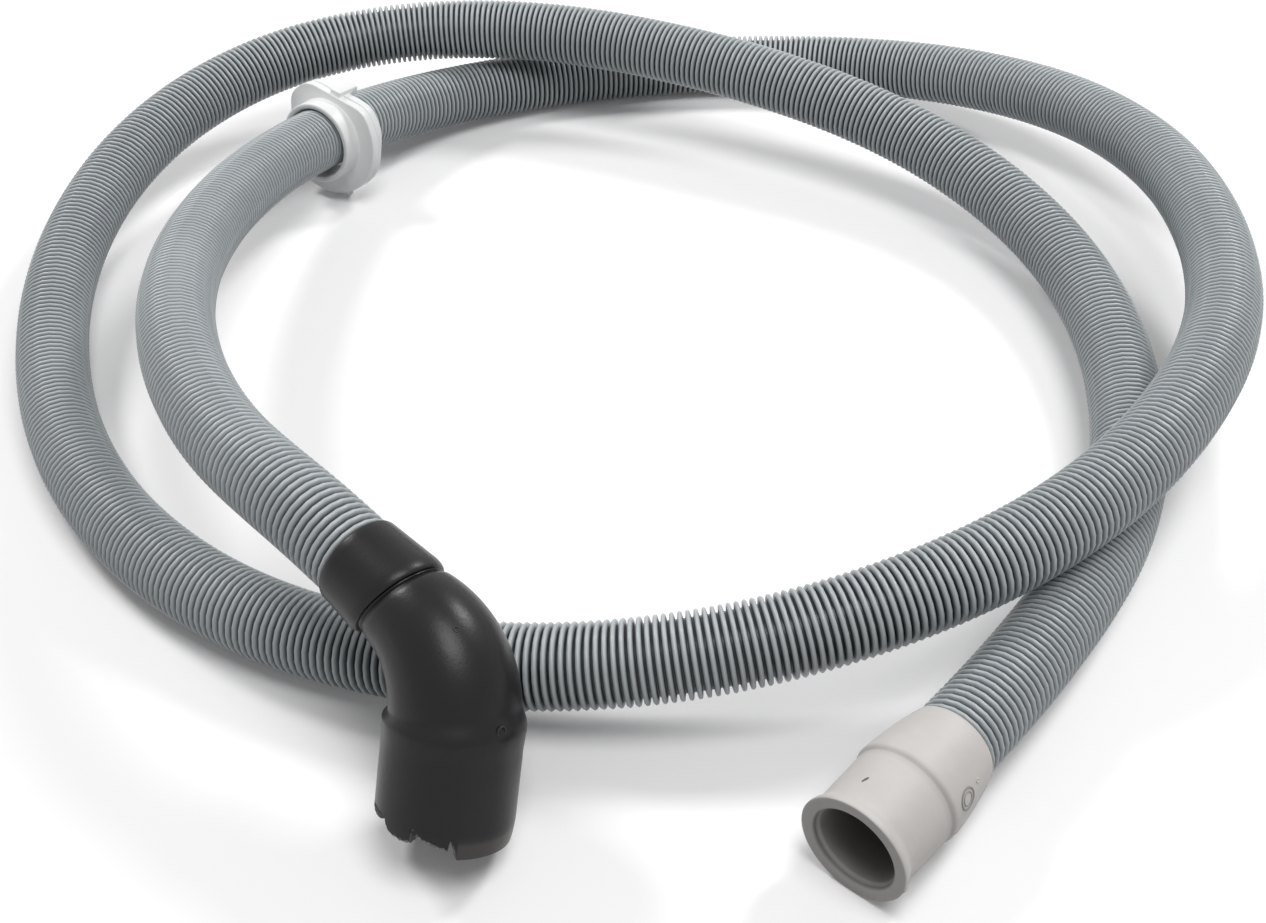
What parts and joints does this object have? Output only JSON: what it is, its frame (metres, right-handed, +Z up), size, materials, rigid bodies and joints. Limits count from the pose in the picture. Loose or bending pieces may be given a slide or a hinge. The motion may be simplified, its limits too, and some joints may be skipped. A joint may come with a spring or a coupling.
{
  "type": "dishwasher drain hose",
  "caption": "Ribbed plastic drain hose lying in a flat coil, with a black rubber elbow at one end, a grey rubber cuff at the other and a loose white wall collar.",
  "frame": {"origin": "middle of the lying coil's outline, on the floor it lies on", "axes": "+Z up from the floor, -Y towards the two fittings, +X to the side of the grey cuff, with the elbow on the -X side"},
  "size_m": [0.4481, 0.4717, 0.0765],
  "materials": {
    "hose_plastic": "satin, light blue-grey",
    "elbow_rubber": "black, slightly glossy",
    "cuff_rubber": "light warm grey, matte",
    "collar_plastic": "off-white, satin"
  },
  "bodies": {
    "root": {"drain_hose": "hose_plastic", "elbow_boot": "elbow_rubber", "end_cuff": "cuff_rubber", "hose_collar": "collar_plastic"}
  },
  "joints": []
}
